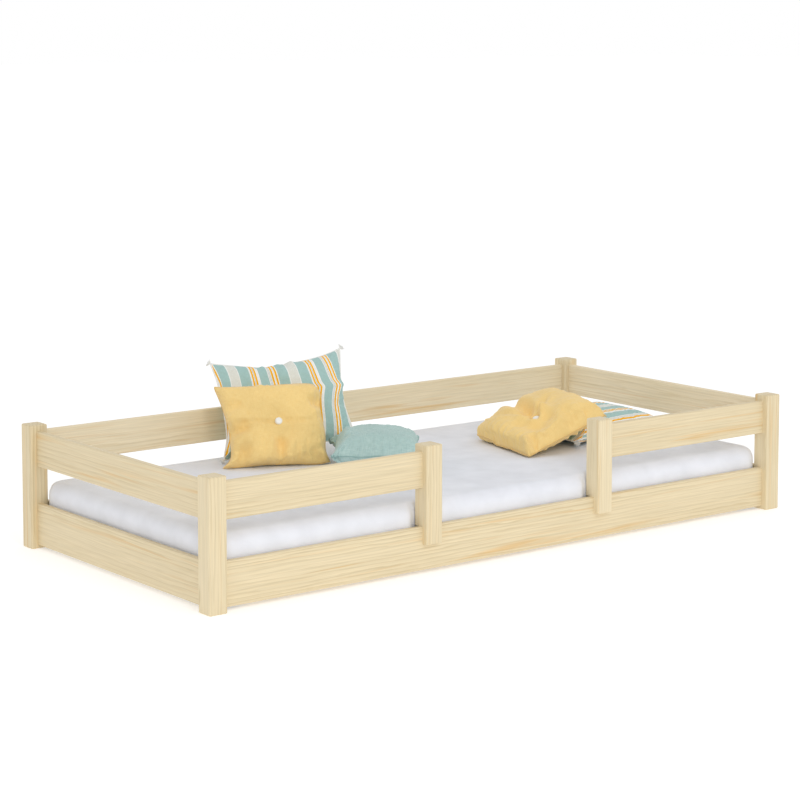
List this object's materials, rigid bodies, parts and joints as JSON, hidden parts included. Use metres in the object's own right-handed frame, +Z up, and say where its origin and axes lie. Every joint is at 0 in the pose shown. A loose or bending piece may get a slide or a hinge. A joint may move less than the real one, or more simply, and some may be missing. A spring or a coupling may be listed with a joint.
{
  "type": "low floor bed",
  "caption": "Low wooden floor bed for a small child, with guard rails all round, a gap in the front guard to climb in by, a sheeted mattress and loose cushions.",
  "frame": {"origin": "on the floor, under the middle of the bed", "axes": "+X along the bed's length, -Y towards the side with the entry gap, +Z up"},
  "size_m": [2.088, 0.98, 0.5093],
  "materials": {
    "post_pine": "clear matt lacquer",
    "board_pine": "clear matt lacquer",
    "slat_pine": "planed, untreated",
    "dowel_beech": "untreated",
    "zinc_steel": "zinc plated",
    "foam": "open-cell foam",
    "white_sheet": "smooth cotton",
    "striped_fabric": "printed cotton, teal and orange stripes",
    "mustard_fabric": "fine twill",
    "teal_fabric": "slub linen",
    "tassel_yarn": "cotton yarn",
    "button": "matt"
  },
  "bodies": {
    "bed_frame": {"bolt_nuts": "zinc_steel", "bolt_washers": "zinc_steel", "corner_plate_back_left": "zinc_steel", "corner_plate_back_right": "zinc_steel", "corner_plate_front_left": "zinc_steel", "corner_plate_front_right": "zinc_steel", "corner_plate_screws": "zinc_steel", "guard_back": "board_pine", "guard_dowels": "dowel_beech", "guard_front_left": "board_pine", "guard_front_right": "board_pine", "guard_left_end": "board_pine", "guard_right_end": "board_pine", "hanger_bolts": "zinc_steel", "ledger_back": "slat_pine", "ledger_front": "slat_pine", "ledger_screws": "zinc_steel", "post_back_left": "post_pine", "post_back_right": "post_pine", "post_front_left": "post_pine", "post_front_right": "post_pine", "rail_back": "board_pine", "rail_dowels": "dowel_beech", "rail_front": "board_pine", "rail_left_end": "board_pine", "rail_right_end": "board_pine", "short_post_left": "post_pine", "short_post_right": "post_pine", "short_post_screws": "zinc_steel", "slat_01": "slat_pine", "slat_02": "slat_pine", "slat_03": "slat_pine", "slat_04": "slat_pine", "slat_05": "slat_pine", "slat_06": "slat_pine", "slat_07": "slat_pine", "slat_08": "slat_pine", "slat_09": "slat_pine", "slat_10": "slat_pine", "slat_11": "slat_pine", "slat_12": "slat_pine", "slat_13": "slat_pine", "slat_14": "slat_pine", "slat_15": "slat_pine", "slat_screws": "zinc_steel"},
    "mattress": {"mattress": "foam", "fitted_sheet": "white_sheet"},
    "striped_cushion_left": {"striped_cushion_left": "striped_fabric", "striped_cushion_left_tassels": "tassel_yarn"},
    "mustard_cushion_left": {"mustard_cushion_left": "mustard_fabric", "cushion_button_left": "button"},
    "teal_cushion": {"teal_cushion": "teal_fabric"},
    "striped_cushion_right": {"striped_cushion_right": "striped_fabric", "striped_cushion_right_tassels": "tassel_yarn"},
    "mustard_cushion_right": {"mustard_cushion_right": "mustard_fabric", "cushion_button_right": "button"}
  },
  "joints": [
    {"name": "mattress_lift_out", "type": "slide", "parent": "bed_frame", "child": "mattress", "axis": [0, 0, 1], "range_m": [0, 0.35]},
    {"name": "striped_cushion_left_lift_off", "type": "slide", "parent": "mattress", "child": "striped_cushion_left", "axis": [0.1919, 0.4115, 0.891], "range_m": [0, 0.3]},
    {"name": "mustard_cushion_left_lift_off", "type": "slide", "parent": "mattress", "child": "mustard_cushion_left", "axis": [0.1919, 0.4115, 0.891], "range_m": [0, 0.3]},
    {"name": "teal_cushion_lift_off", "type": "slide", "parent": "mattress", "child": "teal_cushion", "axis": [0, 0, 1], "range_m": [0, 0.3]},
    {"name": "striped_cushion_right_lift_off", "type": "slide", "parent": "mattress", "child": "striped_cushion_right", "axis": [0, 0, 1], "range_m": [0, 0.3]},
    {"name": "mustard_cushion_right_lift_off", "type": "slide", "parent": "striped_cushion_right", "child": "mustard_cushion_right", "axis": [0, 0, 1], "range_m": [0, 0.3]}
  ]
}
